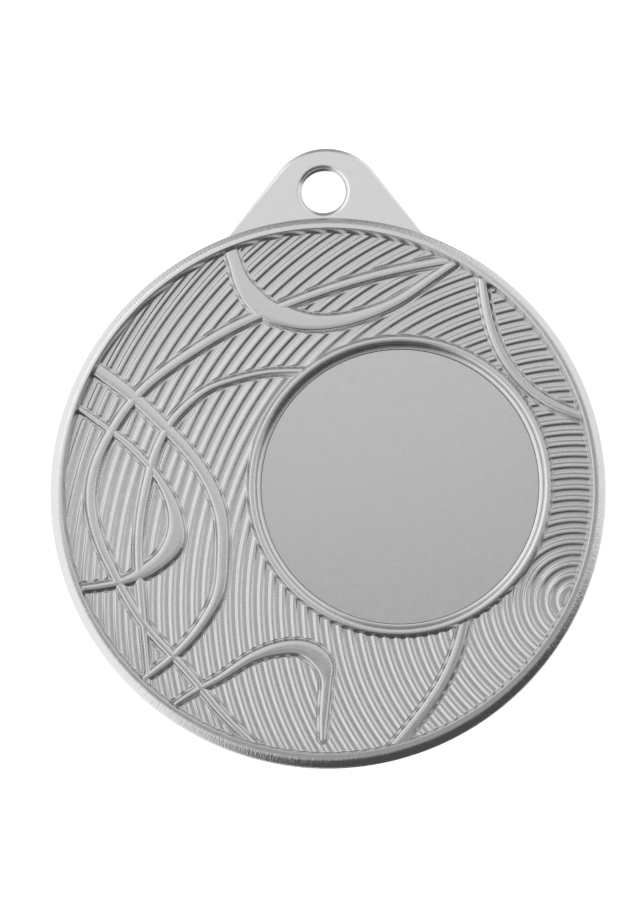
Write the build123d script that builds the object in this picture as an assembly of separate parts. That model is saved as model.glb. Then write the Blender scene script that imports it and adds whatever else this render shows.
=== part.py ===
from build123d import *
import os

# A round award medal, lying on its back.
#   origin  centre of the round back face
#   +Z      out of the decorated front face
#   +Y      towards the lug that takes the ribbon
# It is one struck blank with a round pocket, and a plain 25 mm disc stuck into that pocket.
# All lengths are in millimetres. Heights are measured from the back face.

# Disc and rim bead
DISC_RADIUS = 25.0
RIM_HEIGHT = 2.5
RIM_CREST_RADIUS = 24.0      # where the bead is highest
RIM_FOOT_RADIUS = 23.6       # where the bead meets the field
RIM_OUTER_ROUND = 1.0        # large round on the outside of the bead
RIM_INNER_ROUND = 0.35       # small round on the inside of the bead
BACK_EDGE_ROUND = 0.8

# Sunken field and its relief
FIELD_HEIGHT = 1.55          # floor of the grooves
RIB_HEIGHT = 1.75
BAND_HEIGHT = 1.95
MOAT = 0.15                  # narrow gap left where a rib ends at a band, the ring or the rim

# Concentric ribs: their common centre is just outside the field, low on the right
RIB_CENTRE = (22.05, -10.3)
RIB_PITCH = 0.995
RIB_COUNT = 48
RIB_INNER_OFFSET = 0.12      # where a rib starts and ends, past a whole number of pitches
RIB_OUTER_OFFSET = 0.6
SMALLEST_RIB_AREA = 0.15     # shorter scraps between crossing bands are left out

# Raised ring round the pocket, the blank in it, and the film that holds the blank
SEAT_CENTRE = (6.5, 0.4)
POCKET_RADIUS = 12.55
POCKET_FLOOR = 0.7
POCKET_LEDGE_HEIGHT = 1.38   # a sloping ledge leads from here up to the ring's inner wall
POCKET_LEDGE_RADIUS = 12.85
RING_HEIGHT = 2.2
RING_MOUTH_RADIUS = 13.0     # the ring's inner wall, just below its round
RING_OUTER_RADIUS = 13.85
RING_INNER_ROUND = 0.25
RING_OUTER_ROUND = 0.3
RING_FOOT_WIDTH = 0.15       # width of the steep foot below the outer round
BLANK_RADIUS = 12.5
BLANK_THICKNESS = 0.55
BLANK_EDGE_ROUND = 0.1
FILM_RADIUS = 12.2
FILM_THICKNESS = 0.1

# Lug: a flat plate whose straight flanks run tangent to a round head
LUG_THICKNESS = 1.6
LUG_HEAD_RADIUS = 5.5
LUG_HEAD_CENTRE = (0.2, 25.95)
RIBBON_HOLE_CENTRE = (0.0, 27.5)
LUG_LEFT_FOOT = (-9.65, 22.4)
LUG_RIGHT_FOOT = (9.9, 22.3)
LUG_EDGE_ROUND = 0.3
RIBBON_HOLE_RADIUS = 1.95
LUG_OVERLAP_RADIUS = 24.6    # the plate reaches in under the bead as far as this

# Raised bands. Each is a list of points (x, y, half width) along its centre line.
# Ends that stop at the rim or the ring run on a little, inside the bead or the ring.
BANDS = {
    "crescent": [
        (-8.6, 22.7, 0.60), (-8.1, 21.1, 0.60), (-7.6, 19.6, 0.70), (-6.6, 18.0, 0.92),
        (-5.4, 16.8, 1.00), (-3.7, 16.05, 0.97), (-1.8, 15.55, 0.85), (0.4, 15.45, 0.72),
        (3.5, 16.05, 0.60), (6.7, 17.35, 0.50), (9.5, 19.15, 0.45), (12.1, 20.85, 0.40),
    ],
    "long_arc": [
        (11.6, 20.92, 0.45), (8.3, 20.42, 0.45), (4.9, 19.72, 0.45), (1.5, 18.82, 0.45),
        (-3.8, 17.02, 0.45), (-8.1, 15.25, 0.50), (-12.4, 12.75, 0.50), (-16.8, 9.32, 0.48),
        (-19.5, 5.7, 0.47), (-21.3, 1.0, 0.47), (-20.98, -2.9, 0.45), (-19.2, -7.3, 0.42),
        (-16.45, -12.0, 0.39), (-13.0, -15.9, 0.37), (-9.8, -19.9, 0.34), (-6.5, -23.2, 0.32),
    ],
    "long_loop": [
        (-21.0, 11.8, 0.60), (-17.35, 8.95, 0.57), (-14.5, 6.12, 0.55), (-12.25, 3.58, 0.52),
        (-10.52, 0.75, 0.53), (-9.6, -2.3, 0.53), (-9.55, -5.9, 0.53), (-9.95, -9.0, 0.52),
        (-11.0, -11.12, 0.47), (-13.9, -14.5, 0.42), (-17.2, -17.0, 0.33),
    ],
    "short_loop": [
        (-22.7, 8.3, 0.25), (-19.9, 6.3, 0.28), (-17.5, 4.3, 0.33), (-15.4, 1.8, 0.34),
        (-14.0, -0.95, 0.52), (-13.68, -2.9, 0.72), (-13.98, -4.55, 0.90), (-14.85, -5.7, 0.78),
        (-16.5, -6.9, 0.67), (-18.4, -7.72, 0.44), (-20.4, -8.14, 0.38), (-22.5, -8.37, 0.33),
    ],
    "ring_tail": [
        (-1.7, 11.0, 0.33), (-5.3, 11.0, 0.31), (-8.3, 10.4, 0.33), (-10.6, 9.6, 0.36),
        (-12.5, 8.2, 0.40), (-13.9, 6.7, 0.42), (-15.15, 4.6, 0.43), (-16.38, 0.6, 0.43),
        (-16.93, -2.3, 0.40), (-17.05, -7.1, 0.38), (-16.8, -10.8, 0.33), (-16.5, -14.8, 0.24),
        (-16.4, -17.5, 0.24),
    ],
    "cane": [
        (-14.4, -19.3, 0.24), (-12.0, -17.8, 0.33), (-9.7, -16.6, 0.40), (-7.6, -15.25, 0.47),
        (-5.8, -14.45, 0.56), (-4.2, -14.1, 0.66), (-2.6, -14.12, 0.72), (-1.35, -14.75, 0.84),
        (-0.57, -15.75, 0.80), (-0.37, -17.0, 0.52), (-0.47, -18.5, 0.46), (-0.67, -20.5, 0.40),
        (-0.77, -22.4, 0.30),
    ],
    "right_hook": [
        (14.2, 19.4, 0.45), (14.6, 16.2, 0.45), (15.6, 12.8, 0.43), (17.9, 9.4, 0.42),
        (20.87, 7.3, 0.44), (23.1, 6.42, 0.45),
    ],
    "lower_tail": [
        (12.2, -11.65, 0.47), (11.6, -14.05, 0.48), (10.13, -17.45, 0.51), (7.7, -20.9, 0.51),
        (5.5, -23.4, 0.45),
    ],
}


def at_seat(height):
    """Place something on the pocket's axis at a height."""
    return Pos(SEAT_CENTRE[0], SEAT_CENTRE[1], height)


def turned(outline):
    """Close an outline drawn as (radius, height) and turn it about the Z axis."""
    return revolve(Plane.XZ * make_face(outline), Axis.Z)


def disc():
    """The round blank: flat back, rounded edges, rim bead and the sunken field."""
    back_round_centre = (DISC_RADIUS - BACK_EDGE_ROUND, BACK_EDGE_ROUND)
    outer_round_centre = (RIM_CREST_RADIUS, RIM_HEIGHT - RIM_OUTER_ROUND)
    inner_round_centre = (RIM_CREST_RADIUS, RIM_HEIGHT - RIM_INNER_ROUND)
    back_round = CenterArc(back_round_centre, BACK_EDGE_ROUND, -90, 90)
    outer_round = CenterArc(outer_round_centre, RIM_OUTER_ROUND, 0, 90)
    inner_round = CenterArc(inner_round_centre, RIM_INNER_ROUND, 90, 90)
    bead_foot = (RIM_FOOT_RADIUS, FIELD_HEIGHT)
    outline = [
        Line((0, 0), back_round @ 0),
        back_round,
        Line(back_round @ 1, outer_round @ 0),
        outer_round,
        inner_round,
        Line(inner_round @ 1, bead_foot),
        Line(bead_foot, (0, FIELD_HEIGHT)),
        Line((0, FIELD_HEIGHT), (0, 0)),
    ]
    return turned(outline)


def seat_ring():
    """The raised ring round the pocket, rooted in the disc."""
    outer_round_radius = RING_OUTER_RADIUS - RING_FOOT_WIDTH - RING_OUTER_ROUND
    inner_round_centre = (RING_MOUTH_RADIUS + RING_INNER_ROUND, RING_HEIGHT - RING_INNER_ROUND)
    outer_round_centre = (outer_round_radius, RING_HEIGHT - RING_OUTER_ROUND)
    inner_round = CenterArc(inner_round_centre, RING_INNER_ROUND, 90, 90)
    outer_round = CenterArc(outer_round_centre, RING_OUTER_ROUND, 0, 90)
    outer_foot = (RING_OUTER_RADIUS, FIELD_HEIGHT)
    outer_root = (RING_OUTER_RADIUS, POCKET_FLOOR)
    inner_root = (POCKET_LEDGE_RADIUS, POCKET_FLOOR)
    inner_foot = (POCKET_LEDGE_RADIUS, FIELD_HEIGHT)
    outline = [
        Line(inner_root, inner_foot),
        Line(inner_foot, inner_round @ 1),
        inner_round,
        Line(inner_round @ 0, outer_round @ 1),
        outer_round,
        Line(outer_round @ 0, outer_foot),
        Line(outer_foot, outer_root),
        Line(outer_root, inner_root),
    ]
    return at_seat(0) * turned(outline)


def pocket():
    """The space inside the ring, from the pocket's floor up past the ring."""
    corners = [
        (0, POCKET_FLOOR),
        (POCKET_RADIUS, POCKET_FLOOR),
        (POCKET_RADIUS, POCKET_LEDGE_HEIGHT),
        (POCKET_LEDGE_RADIUS, FIELD_HEIGHT),
        (POCKET_LEDGE_RADIUS, RING_HEIGHT),
        (0, RING_HEIGHT),
    ]
    return at_seat(0) * turned([Polyline(*corners, close=True)])


def lug():
    """The flat plate at the top, with rounded edges and the ribbon hole."""
    head = Pos(*LUG_HEAD_CENTRE) * Circle(LUG_HEAD_RADIUS)
    foot = Line(LUG_LEFT_FOOT, LUG_RIGHT_FOOT)
    plate = extrude(make_hull(head.edges() + foot.edges()), LUG_THICKNESS)
    hole_middle = Pos(*RIBBON_HOLE_CENTRE, LUG_THICKNESS / 2)
    hole = hole_middle * Cylinder(RIBBON_HOLE_RADIUS, 2 * LUG_THICKNESS)
    plate -= hole
    flat_edges = plate.edges().filter_by(Plane.XY)
    plate = fillet(flat_edges, LUG_EDGE_ROUND)
    return plate - Pos(0, 0, LUG_THICKNESS / 2) * Cylinder(LUG_OVERLAP_RADIUS, 2 * LUG_THICKNESS)


def band_face(points, margin=0.0):
    """The flat outline of one band, made wider and longer by the margin."""
    centre_line = Spline(*[(x, y) for x, y, _ in points])
    left_side = []
    right_side = []
    for index, (x, y, half_width) in enumerate(points):
        along = centre_line.tangent_at(Vector(x, y))
        across = Vector(-along.Y, along.X)
        reach = 0
        if index == 0:
            reach = -margin
        if index == len(points) - 1:
            reach = margin
        middle = Vector(x, y) + along * reach
        left_side.append(middle + across * (half_width + margin))
        right_side.append(middle - across * (half_width + margin))
    outline = [
        Spline(*left_side),
        Line(left_side[-1], right_side[-1]),
        Spline(*reversed(right_side)),
        Line(right_side[0], left_side[0]),
    ]
    return make_face(outline)


def rib_faces():
    """Flat outlines of the ribs: arcs about one centre, cut back from everything raised."""
    field = Circle(RIM_FOOT_RADIUS - MOAT)
    field -= at_seat(0) * Circle(RING_OUTER_RADIUS + MOAT)
    for points in BANDS.values():
        field -= band_face(points, MOAT)
    faces = []
    for number in range(1, RIB_COUNT + 1):
        inner_radius = (number + RIB_INNER_OFFSET) * RIB_PITCH
        outer_radius = (number + RIB_OUTER_OFFSET) * RIB_PITCH
        rib = Pos(*RIB_CENTRE) * (Circle(outer_radius) - Circle(inner_radius))
        for face in (field & rib).faces():
            if face.area > SMALLEST_RIB_AREA:
                faces.append(face)
    print("rib pieces:", len(faces))
    return faces


def raised(faces, top):
    """Stand flat outlines up as solids, from halfway into the field to a given height."""
    root = FIELD_HEIGHT / 2
    solids = []
    for face in faces:
        solids += extrude(Pos(0, 0, root) * face, top - root).solids()
    return solids


def medal_body():
    """The whole struck blank as one solid."""
    blank = disc() + seat_ring() + lug()
    blank -= pocket()
    bands = raised([band_face(points) for points in BANDS.values()], BAND_HEIGHT)
    ribs = raised(rib_faces(), RIB_HEIGHT)
    return blank.fuse(*bands, *ribs)


def centre_adhesive():
    """The film that holds the blank down."""
    return at_seat(POCKET_FLOOR + FILM_THICKNESS / 2) * Cylinder(FILM_RADIUS, FILM_THICKNESS)


def centre_disc():
    """The plain round blank, its front edge slightly rounded."""
    height = POCKET_FLOOR + FILM_THICKNESS + BLANK_THICKNESS / 2
    blank = Cylinder(BLANK_RADIUS, BLANK_THICKNESS)
    blank = fillet(blank.edges().group_by(Axis.Z)[-1], BLANK_EDGE_ROUND)
    return at_seat(height) * blank


parts = {
    "medal_body": medal_body(),
    "centre_adhesive": centre_adhesive(),
    "centre_disc": centre_disc(),
}

os.makedirs("parts", exist_ok=True)
for name, shape in parts.items():
    export_step(shape, f"parts/{name}.step")
    size = shape.bounding_box().size
    print(name, f"{size.X:.2f} x {size.Y:.2f} x {size.Z:.2f} mm", f"{shape.volume:.1f} mm3")
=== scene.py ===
# %% [markdown]
# # A struck award medal, made of surfaces
#
# The real object is a 50 mm disc of plated metal with a flat lug at the top for a ribbon. A steel
# die pressed its front, so everything raised on it has one height at each spot: there are no
# undercuts. That makes the front a height field, and this lesson works it out as one formula.
#
# The measured model comes first. It is loaded as a fixed frame, and every size that it knows is
# read from it. All shapes are worked out in millimetres and turned into metres at the very end.

import math

import bpy
import numpy as np
from mathutils import Matrix, Vector


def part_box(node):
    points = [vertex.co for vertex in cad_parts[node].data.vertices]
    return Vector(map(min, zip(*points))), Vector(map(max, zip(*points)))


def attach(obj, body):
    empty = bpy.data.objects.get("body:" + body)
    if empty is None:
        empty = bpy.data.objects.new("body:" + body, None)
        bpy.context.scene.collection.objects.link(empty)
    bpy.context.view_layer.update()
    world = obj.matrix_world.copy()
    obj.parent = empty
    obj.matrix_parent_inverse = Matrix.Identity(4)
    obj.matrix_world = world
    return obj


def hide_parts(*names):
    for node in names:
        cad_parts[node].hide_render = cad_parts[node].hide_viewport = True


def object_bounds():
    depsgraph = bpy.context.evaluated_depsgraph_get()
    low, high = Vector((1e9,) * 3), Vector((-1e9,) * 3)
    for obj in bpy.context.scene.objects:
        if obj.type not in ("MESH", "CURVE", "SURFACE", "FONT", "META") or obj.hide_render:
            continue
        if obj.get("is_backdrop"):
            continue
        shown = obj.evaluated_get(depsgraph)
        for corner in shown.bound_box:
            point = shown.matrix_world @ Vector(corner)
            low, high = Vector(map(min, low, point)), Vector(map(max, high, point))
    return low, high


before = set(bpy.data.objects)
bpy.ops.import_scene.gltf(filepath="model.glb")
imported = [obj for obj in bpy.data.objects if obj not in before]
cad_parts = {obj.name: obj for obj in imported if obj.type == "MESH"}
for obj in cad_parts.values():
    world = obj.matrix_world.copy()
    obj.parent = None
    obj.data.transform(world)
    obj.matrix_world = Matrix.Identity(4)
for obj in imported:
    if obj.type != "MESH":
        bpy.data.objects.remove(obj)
cad_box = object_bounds()

MM = 0.001
BODY = "root"


def in_mm(corner):
    """A corner of a box in the frame, in millimetres."""
    return np.array(corner) / MM


body_low, body_high = (in_mm(corner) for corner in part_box("medal_body"))
blank_low, blank_high = (in_mm(corner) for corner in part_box("centre_disc"))
film_low = in_mm(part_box("centre_adhesive")[0])

DISC_RADIUS = (body_high[0] - body_low[0]) / 2
RIM_TOP = body_high[2]
LUG_TOP_Y = body_high[1]
SEAT = (blank_low + blank_high)[:2] / 2
BLANK_RADIUS = (blank_high[0] - blank_low[0]) / 2
BLANK_TOP = blank_high[2]
BLANK_BOTTOM = blank_low[2]
POCKET_FLOOR = film_low[2]
print(f"disc radius {DISC_RADIUS:.2f}, rim {RIM_TOP:.2f}, seat at {SEAT.round(2)}, all in mm")

# %% [markdown]
# ## Heights and radii of the relief
#
# The die has only a few levels. From low to high they are the groove floor, the rib tops, the
# band tops, the ring round the centre and the rim bead. A medal like this reads well because each
# level catches the light on its own edge, so the levels are kept a few tenths of a millimetre
# apart, as on the real one.

# %% Levels and radii of the die
FIELD = 1.55
RIB_TOP = 1.72
BAND_TOP = 1.91
RING_TOP = 2.2

RIM_SHOULDER = 1.0
RIM_CREST = DISC_RADIUS - RIM_SHOULDER
RIM_FLAT = 0.04
RIM_WALL = 0.42
RING_CREST = 13.42
RING_FLAT = 0.06
RING_WALL = 0.44
RIM_FOOT = RIM_CREST - RIM_FLAT - RIM_WALL
RING_FOOT = RING_CREST + RING_FLAT + RING_WALL
BLANK_PLAY = 0.03
POCKET_RADIUS = BLANK_RADIUS + BLANK_PLAY

RIB_CENTRE = np.array([22.05, -10.3])
RIB_PITCH = 0.995
RIB_START = 0.12
RIB_END = 0.60
RIB_WALL = 0.29
MOAT = 0.08

BASE_LEVEL = 0.6
print(f"the rim's foot is at radius {RIM_FOOT:.2f}, the ring's at {RING_FOOT:.2f}")


# %% [markdown]
# ## The raised bands
#
# Eight smooth bands sweep over the field. An engraver would draw each one as a centre line that
# swells and thins, so each is a short list of points: where the line passes, and how wide it is on
# each side there. A cubic spline runs through them, for the width as well as for the place.

# %% Centre lines of the bands: x, y and half width
BANDS = {
    "crescent": [
        (-8.6, 22.7, 0.60), (-8.1, 21.1, 0.60), (-7.6, 19.6, 0.70), (-6.6, 18.0, 0.92),
        (-5.4, 16.8, 1.00), (-3.7, 16.05, 0.97), (-1.8, 15.55, 0.85), (0.4, 15.45, 0.72),
        (3.5, 16.05, 0.60), (6.7, 17.35, 0.50), (9.5, 19.15, 0.45), (12.1, 20.85, 0.40),
    ],
    "long_arc": [
        (11.6, 20.92, 0.45), (8.3, 20.42, 0.45), (4.9, 19.72, 0.45), (1.5, 18.82, 0.45),
        (-3.8, 17.02, 0.45), (-8.1, 15.25, 0.50), (-12.4, 12.75, 0.50), (-16.8, 9.32, 0.48),
        (-19.5, 5.7, 0.47), (-21.3, 1.0, 0.47), (-20.98, -2.9, 0.45), (-19.2, -7.3, 0.42),
        (-16.45, -12.0, 0.39), (-13.0, -15.9, 0.37), (-9.8, -19.9, 0.34), (-6.5, -23.2, 0.32),
    ],
    "long_loop": [
        (-21.0, 11.8, 0.60), (-17.35, 8.95, 0.57), (-14.5, 6.12, 0.55), (-12.25, 3.58, 0.52),
        (-10.52, 0.75, 0.53), (-9.6, -2.3, 0.53), (-9.55, -5.9, 0.53), (-9.95, -9.0, 0.52),
        (-11.0, -11.12, 0.47), (-13.9, -14.5, 0.42), (-17.2, -17.0, 0.33),
    ],
    "short_loop": [
        (-22.7, 8.3, 0.25), (-19.9, 6.3, 0.28), (-17.5, 4.3, 0.33), (-15.4, 1.8, 0.34),
        (-14.0, -0.95, 0.52), (-13.68, -2.9, 0.72), (-13.98, -4.55, 0.90), (-14.85, -5.7, 0.78),
        (-16.5, -6.9, 0.67), (-18.4, -7.72, 0.44), (-20.4, -8.14, 0.38), (-22.5, -8.37, 0.33),
    ],
    "ring_tail": [
        (-1.7, 11.0, 0.33), (-5.3, 11.0, 0.31), (-8.3, 10.4, 0.33), (-10.6, 9.6, 0.36),
        (-12.5, 8.2, 0.40), (-13.9, 6.7, 0.42), (-15.15, 4.6, 0.43), (-16.38, 0.6, 0.43),
        (-16.93, -2.3, 0.40), (-17.05, -7.1, 0.38), (-16.8, -10.8, 0.33), (-16.5, -14.8, 0.24),
        (-16.4, -17.5, 0.24),
    ],
    "cane": [
        (-14.4, -19.3, 0.24), (-12.0, -17.8, 0.33), (-9.7, -16.6, 0.40), (-7.6, -15.25, 0.47),
        (-5.8, -14.45, 0.56), (-4.2, -14.1, 0.66), (-2.6, -14.12, 0.72), (-1.35, -14.75, 0.84),
        (-0.57, -15.75, 0.80), (-0.37, -17.0, 0.52), (-0.47, -18.5, 0.46), (-0.67, -20.5, 0.40),
        (-0.77, -22.4, 0.30),
    ],
    "right_hook": [
        (14.2, 19.4, 0.45), (14.6, 16.2, 0.45), (15.6, 12.8, 0.43), (17.9, 9.4, 0.42),
        (20.87, 7.3, 0.44), (23.1, 6.42, 0.45),
    ],
    "lower_tail": [
        (12.2, -11.65, 0.47), (11.6, -14.05, 0.48), (10.13, -17.45, 0.51), (7.7, -20.9, 0.51),
        (5.5, -23.4, 0.45),
    ],
}
BAND_STEP = 0.3


def natural_spline(points, step):
    """Points along a smooth line through the given ones, about one step apart.

    Each column is a cubic spline over the distance travelled, t. Between two knots a value is
    A v0 + B v1 + (A^3 - A) h^2 m0 / 6 + (B^3 - B) h^2 m1 / 6, where B is the share of the gap h
    that is behind, A = 1 - B, and m are the second derivatives. They are 0 at both ends, and the
    slopes match at every knot, which makes one small set of linear equations.
    """
    values = np.array(points, float)
    gaps = np.hypot(*np.diff(values[:, :2], axis=0).T)
    knots = np.concatenate([[0.0], np.cumsum(gaps)])
    count = len(knots)
    system = np.eye(count)
    right = np.zeros((count, values.shape[1]))
    inner = np.arange(1, count - 1)
    slopes = np.diff(values, axis=0) / gaps[:, None]
    system[inner, inner - 1] = gaps[:-1] / 6
    system[inner, inner] = (gaps[:-1] + gaps[1:]) / 3
    system[inner, inner + 1] = gaps[1:] / 6
    right[inner] = np.diff(slopes, axis=0)
    bend = np.linalg.solve(system, right)
    travel = np.linspace(0, knots[-1], max(2, int(knots[-1] / step)))
    piece = np.clip(np.searchsorted(knots, travel, side="right") - 1, 0, count - 2)
    gap = gaps[piece][:, None]
    ahead = ((travel - knots[piece]) / gaps[piece])[:, None]
    behind = 1 - ahead
    straight = behind * values[piece] + ahead * values[piece + 1]
    cubic = (behind**3 - behind) * bend[piece] + (ahead**3 - ahead) * bend[piece + 1]
    return straight + cubic * gap**2 / 6


band_lines = {name: natural_spline(points, BAND_STEP) for name, points in BANDS.items()}
print({name: len(line) for name, line in band_lines.items()})


# %% [markdown]
# ## Depth inside the bands
#
# The relief needs to know, at any spot, how far it is from the edge of the nearest band. A band is
# a row of short straight spans, each with a width that changes evenly, and the depth inside one is
# the half width minus the distance to the span. Taking the largest depth over all spans joins
# bands that cross into one flush shape, which is what the die does.

# %% Depth inside the bands, and how wide the band is there
REACH = 0.7
NEAR_LINE = 2


def smooth_step(value):
    """0 below 0, 1 above 1, and 3 v^2 - 2 v^3 between, which starts and ends level."""
    share = np.clip(value, 0.0, 1.0)
    return share * share * (3 - 2 * share)


def smooth_max(first, second, blend):
    """The larger of two heights, rounded where they are within the blend of each other."""
    share = np.clip(0.5 + 0.5 * (first - second) / blend, 0.0, 1.0)
    return second + (first - second) * share + blend * share * (1 - share)


def band_depth(x, y):
    """How deep each point lies inside the nearest band: positive inside, negative outside.

    For a span from P to Q with half widths p and q, the nearest place on it is at the share
    t = (point - P) . (Q - P) / |Q - P|^2, kept between 0 and 1. The depth is p + t (q - p) minus
    the distance to that place. Far from every span it is left at minus the reach.
    """
    depth = np.full(x.shape, -REACH)
    for line in band_lines.values():
        near_line = (
            (x > line[:, 0].min() - NEAR_LINE)
            & (x < line[:, 0].max() + NEAR_LINE)
            & (y > line[:, 1].min() - NEAR_LINE)
            & (y < line[:, 1].max() + NEAR_LINE)
        )
        spots = np.nonzero(near_line)[0]
        spot_x = x[spots]
        spot_y = y[spots]
        for (ax, ay, aw), (bx, by, bw) in zip(line[:-1], line[1:]):
            middle_x = (ax + bx) / 2
            middle_y = (ay + by) / 2
            margin = max(aw, bw) + REACH + BAND_STEP
            close = (np.abs(spot_x - middle_x) < margin) & (np.abs(spot_y - middle_y) < margin)
            chosen = spots[close]
            from_x = x[chosen] - ax
            from_y = y[chosen] - ay
            length = (bx - ax) ** 2 + (by - ay) ** 2
            share = np.clip((from_x * (bx - ax) + from_y * (by - ay)) / length, 0, 1)
            away = np.hypot(from_x - share * (bx - ax), from_y - share * (by - ay))
            depth[chosen] = np.maximum(depth[chosen], aw + share * (bw - aw) - away)
    return depth


# %% [markdown]
# ## One formula for the whole front
#
# Each feature has a profile of its own: the bead and the ring are walls about their own centres,
# a band rises steeply and then crowns gently, and the ribs are low flat-topped walls that repeat
# with the distance from one common centre. The ribs fade out just short of the bands, which
# leaves the fine dark moat that outlines them, and run straight into the rim and the ring. A
# rounded maximum joins everything.

# %% Height of the front at any spot
BAND_WALL = 0.38
CROWN_WIDTH = 0.55
CROWN_SHARE = 0.12
WALL_CROWN = 0.03
JOIN = 0.06


def wall_profile(across, flat, wall, low, high):
    """A wall seen in section: nearly level for its flat part, then down to its foot.

    Over the flat part the height sinks by a crown of a few hundredths of a millimetre. After it,
    it falls along 3 v^2 - 2 v^3, where v is the share of the wall's width, and reaches the foot.
    """
    crown = WALL_CROWN * np.clip(across / (flat + wall), 0.0, 1.0) ** 2
    return low + (high - crown - low) * (1 - smooth_step((across - flat) / wall))


def rib_profile(x, y):
    """0 in the grooves and 1 on the ribs, by the distance from the ribs' common centre.

    The distance is cut into pitches. In each one the profile climbs about RIB_START and falls
    about RIB_END, both over the width of a rib's wall.
    """
    pitches = np.hypot(x - RIB_CENTRE[0], y - RIB_CENTRE[1]) / RIB_PITCH
    middle = (RIB_START + RIB_END) / 2
    off_middle = np.abs((pitches - middle + 0.5) % 1.0 - 0.5) * RIB_PITCH
    half_land = (RIB_END - RIB_START) / 2 * RIB_PITCH
    return smooth_step(0.5 - (off_middle - half_land) / RIB_WALL)


def band_profile(depth):
    """0 outside a band, a wall centred on its edge, and a gentle crown further in."""
    wall = smooth_step(0.5 + depth / BAND_WALL)
    crown = smooth_step(depth / CROWN_WIDTH)
    return (1 - CROWN_SHARE) * wall + CROWN_SHARE * crown


def front_height(x, y):
    """Height of the front in millimetres, from the ring's crest to the rim's crest."""
    depth = band_depth(x, y)
    radius = np.hypot(x, y)
    seat_radius = np.hypot(x - SEAT[0], y - SEAT[1])
    room = smooth_step((-depth - BAND_WALL / 2) / MOAT)
    ribs = FIELD + (RIB_TOP - FIELD) * rib_profile(x, y) * room
    bands = FIELD + (BAND_TOP - FIELD) * band_profile(depth)
    rim = wall_profile(RIM_CREST - radius, RIM_FLAT, RIM_WALL, FIELD, RIM_TOP)
    ring = wall_profile(seat_radius - RING_CREST, RING_FLAT, RING_WALL, FIELD, RING_TOP)
    height = smooth_max(ribs, bands, JOIN)
    return smooth_max(smooth_max(height, rim, JOIN), ring, JOIN)


# %% [markdown]
# ## From arrays to closed meshes
#
# A grid of points becomes faces by pure counting: the corners of cell (row, column) are known, so
# the whole face list is one array. The normals are worked out from the same grid, which keeps the
# light smooth across the seams between neighbouring pieces. Every piece is closed, as a real slice
# of metal is.


def quads(first, second):
    """Cells between two equally long rows of vertex numbers, or between rows of a table."""
    return np.stack([first[..., :-1], first[..., 1:], second[..., 1:], second[..., :-1]], -1)


def make_piece(name, points, faces, normals, hollow=None):
    """A mesh object from points in millimetres and lists of faces, with its own normals.

    Normals come one for each corner of each face, in the order of the faces. The attribute
    "hollow" says how deep in a corner each vertex lies, from 0 to 1, and the metal is greyed by
    it as painted shade.
    """
    mesh = bpy.data.meshes.new(name)
    mesh.from_pydata((points * MM).tolist(), [], faces)
    mesh.shade_smooth()
    lengths = np.linalg.norm(normals, axis=1, keepdims=True)
    mesh.normals_split_custom_set((normals / lengths).tolist())
    depth = np.zeros(len(points)) if hollow is None else hollow
    mesh.attributes.new("hollow", "FLOAT", "POINT").data.foreach_set("value", depth.astype(np.float32))
    mesh.update()
    piece = bpy.data.objects.new(name, mesh)
    bpy.context.scene.collection.objects.link(piece)
    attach(piece, BODY)
    triangles = sum(len(face) - 2 for face in faces)
    print(f"{name}: {len(points)} points, {triangles} triangles")
    return piece


def slab_faces(rows, columns):
    """Faces of a closed slab whose top is a grid.

    Vertices are the grid, row by row, then a copy of the first row and of the last row at the
    slab's base. Two flat end faces close the sides where a row starts and ends.
    """
    top = np.arange(rows * columns).reshape(rows, columns)
    inner_base = rows * columns + np.arange(columns)
    outer_base = inner_base + columns
    loops = [
        quads(top[:-1], top[1:]).reshape(-1, 4),
        quads(inner_base, top[0]),
        quads(top[-1], outer_base),
        quads(outer_base, inner_base),
    ]
    start_side = np.concatenate([top[::-1, 0], [inner_base[0], outer_base[0]]])
    end_side = np.concatenate([top[:, -1], [outer_base[-1], inner_base[-1]]])
    faces = np.concatenate(loops)[:, ::-1].tolist()
    return faces + [start_side.tolist(), end_side.tolist()]


# %% [markdown]
# ## The front, in six slices
#
# The field lies between two circles with different centres: the crest of the ring and the crest
# of the rim. Its points are a blend of the two circles, so the two parameters are the angle and
# the share of the way across. The field is six slices, cut like a cake, so that no mesh gets too
# heavy and each slice has as many rows as its own width needs.

# %% Build the relief
ROW_STEP = 0.066
COLUMN_STEP = 0.078
SLICES = 6
SLICE_NAMES = ["right", "upper_right", "upper_left", "left", "lower_left", "lower_right"]
# How much painted shade the corners and groove floors of the relief get.
HOLLOW_REACH = 0.09
HOLLOW_FULL = 0.09
GROOVE_SHARE = 0.22


def field_points(angles, shares):
    """Points at the given shares of the way from the ring's crest to the rim's crest."""
    turn = np.stack([np.cos(angles), np.sin(angles)], -1)
    inner = SEAT + RING_CREST * turn
    outer = RIM_CREST * turn
    return inner + shares[:, None, None] * (outer - inner)


def hollow_at(x, y, height):
    """How far a point lies below the mean of its four neighbours, from 0 to 1.

    The neighbours are one reach away along x and y. Corners at the foot of a wall get near 1, and
    edges that stand proud get 0. The floor of a groove counts as hollow by a fixed small share.
    The metal is greyed by this amount, as painted shade in corners and grooves.
    """
    steps = HOLLOW_REACH * np.array([(1, 0), (-1, 0), (0, 1), (0, -1)])
    nearby = sum(front_height(x + step_x, y + step_y) for step_x, step_y in steps)
    crease = np.clip((nearby / len(steps) - height) / HOLLOW_FULL, 0.0, 1.0)
    depth = np.clip((RIB_TOP - height) / (RIB_TOP - FIELD), 0.0, 1.0)
    return np.maximum(crease, GROOVE_SHARE * depth)


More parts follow.
